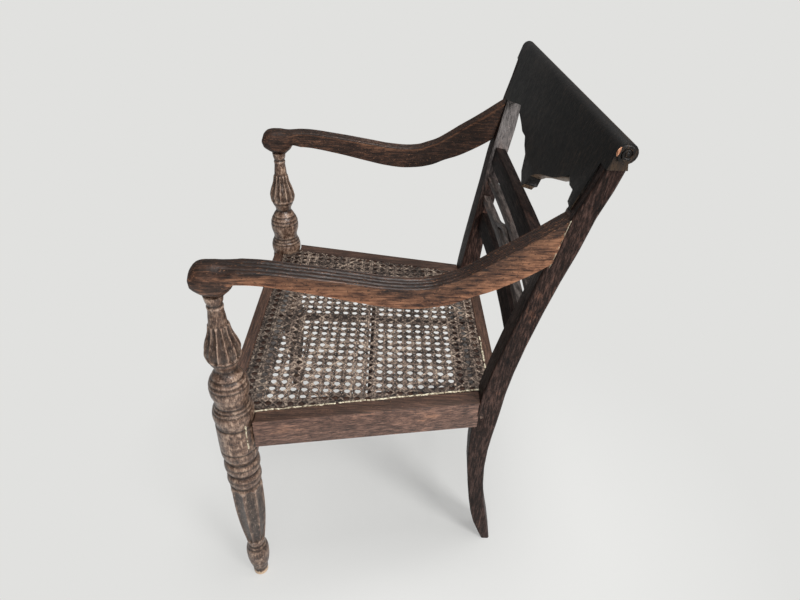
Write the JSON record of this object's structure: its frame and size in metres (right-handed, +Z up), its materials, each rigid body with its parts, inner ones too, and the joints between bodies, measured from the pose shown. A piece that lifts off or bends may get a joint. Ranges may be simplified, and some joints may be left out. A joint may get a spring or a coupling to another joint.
{
  "type": "caned open armchair",
  "caption": "Open armchair in dark turned hardwood with scrolled arms, a barred back under a broken crest rail, and a caned seat.",
  "frame": {"origin": "centre of the chair's bounding box, at floor level", "axes": "+Z up, front of the chair towards -Y, the sitter's left towards +X"},
  "size_m": [0.6006, 0.5454, 0.9047],
  "materials": {
    "stained_hardwood": "worn satin",
    "worn_arm_hardwood": "worn satin",
    "blackened_crest": "worn satin",
    "seat_rail_hardwood": "worn satin",
    "peg_wood": "matt",
    "aged_cane": "matt"
  },
  "bodies": {
    "root": {"front_leg_left": "stained_hardwood", "front_leg_right": "stained_hardwood", "rear_leg_left": "stained_hardwood", "rear_leg_right": "stained_hardwood", "arm_left": "worn_arm_hardwood", "arm_right": "worn_arm_hardwood", "crest_rail": "blackened_crest", "back_bar_top": "stained_hardwood", "back_bar_upper": "stained_hardwood", "back_bar_lower": "stained_hardwood", "back_bar_bottom": "stained_hardwood", "back_oval": "stained_hardwood", "seat_rail_front": "seat_rail_hardwood", "seat_rail_rear": "seat_rail_hardwood", "seat_rail_left": "seat_rail_hardwood", "seat_rail_right": "seat_rail_hardwood", "seat_peg_left": "peg_wood", "seat_peg_right": "peg_wood", "batten_length": "seat_rail_hardwood", "batten_cross": "seat_rail_hardwood", "cane_panel": "aged_cane"}
  },
  "joints": []
}
